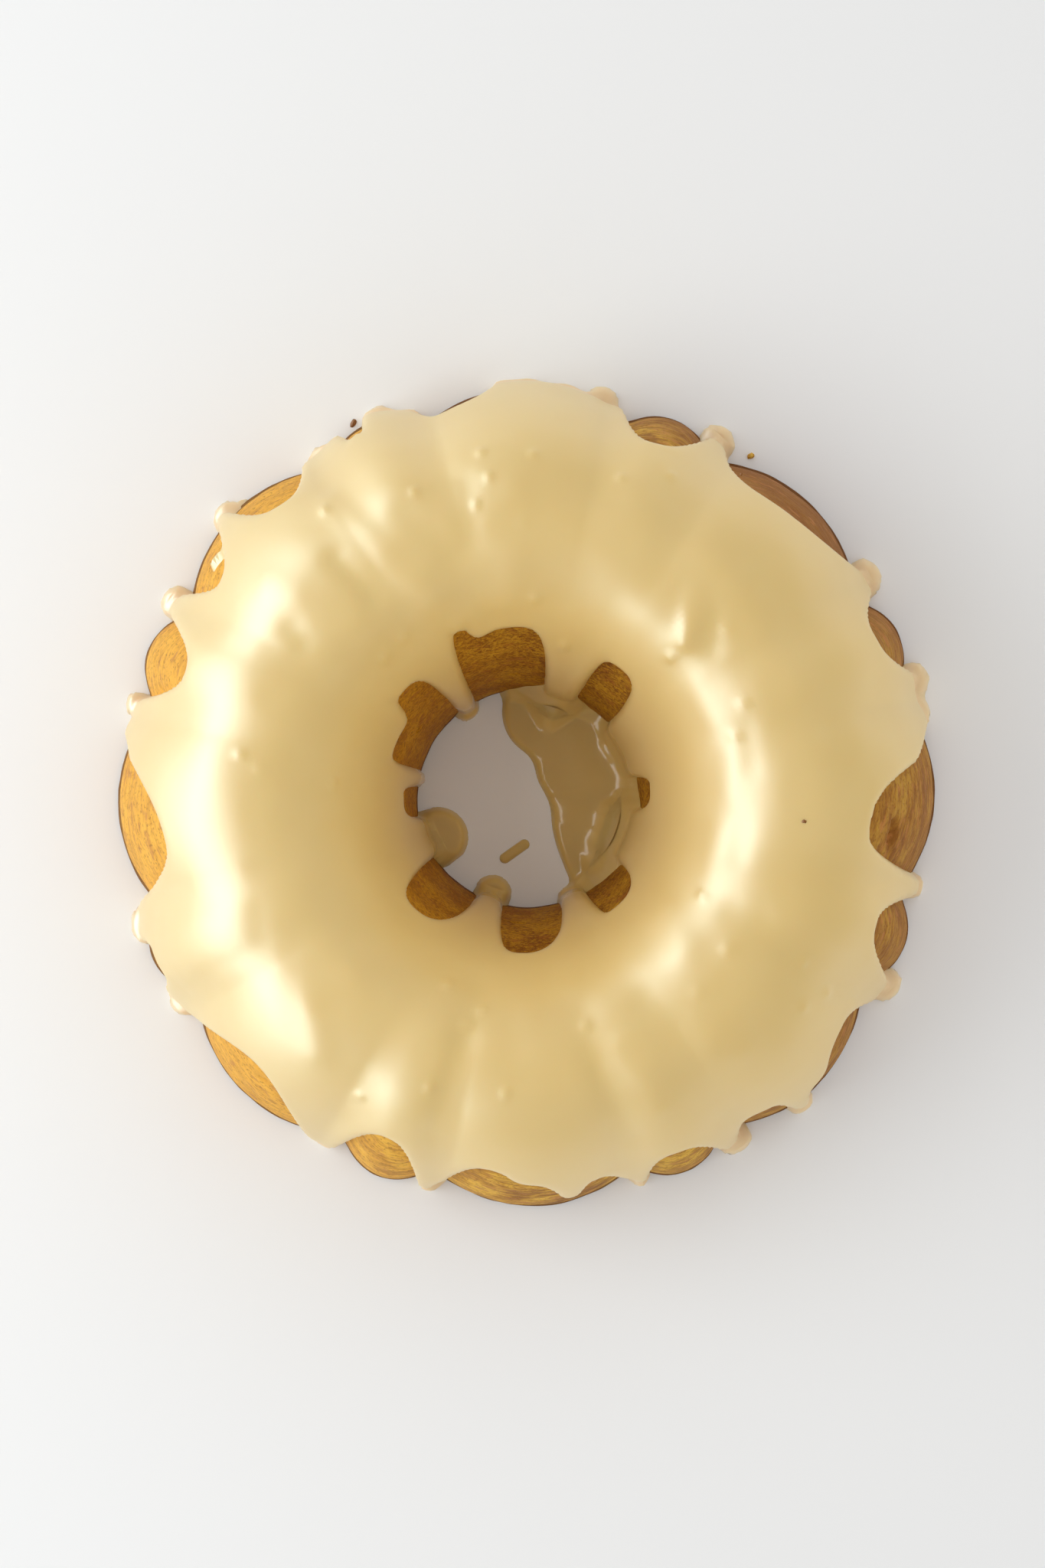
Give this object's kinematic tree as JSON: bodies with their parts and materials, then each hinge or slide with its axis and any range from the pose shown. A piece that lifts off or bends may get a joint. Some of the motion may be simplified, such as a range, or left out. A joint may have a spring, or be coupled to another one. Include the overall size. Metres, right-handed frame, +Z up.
{
  "type": "bundt cake",
  "caption": "Fluted ring cake with a tapered centre hole, under a thick poured glaze that runs down the valleys and pools in the hole.",
  "frame": {"origin": "on the axis of the ring, at the height of the cake's flat base", "axes": "+Z up along the axis of the ring, +X through the middle of a wide lobe, +Y away from the side with the short lobe of glaze"},
  "size_m": [0.248, 0.2515, 0.0887],
  "materials": {
    "cake": "baked crust, golden orange to deep brown, matt with fine pores",
    "glaze": "thick poured sugar glaze, cream tan, softly glossy"
  },
  "bodies": {
    "root": {"cake": "cake", "glaze": "glaze"}
  },
  "joints": []
}
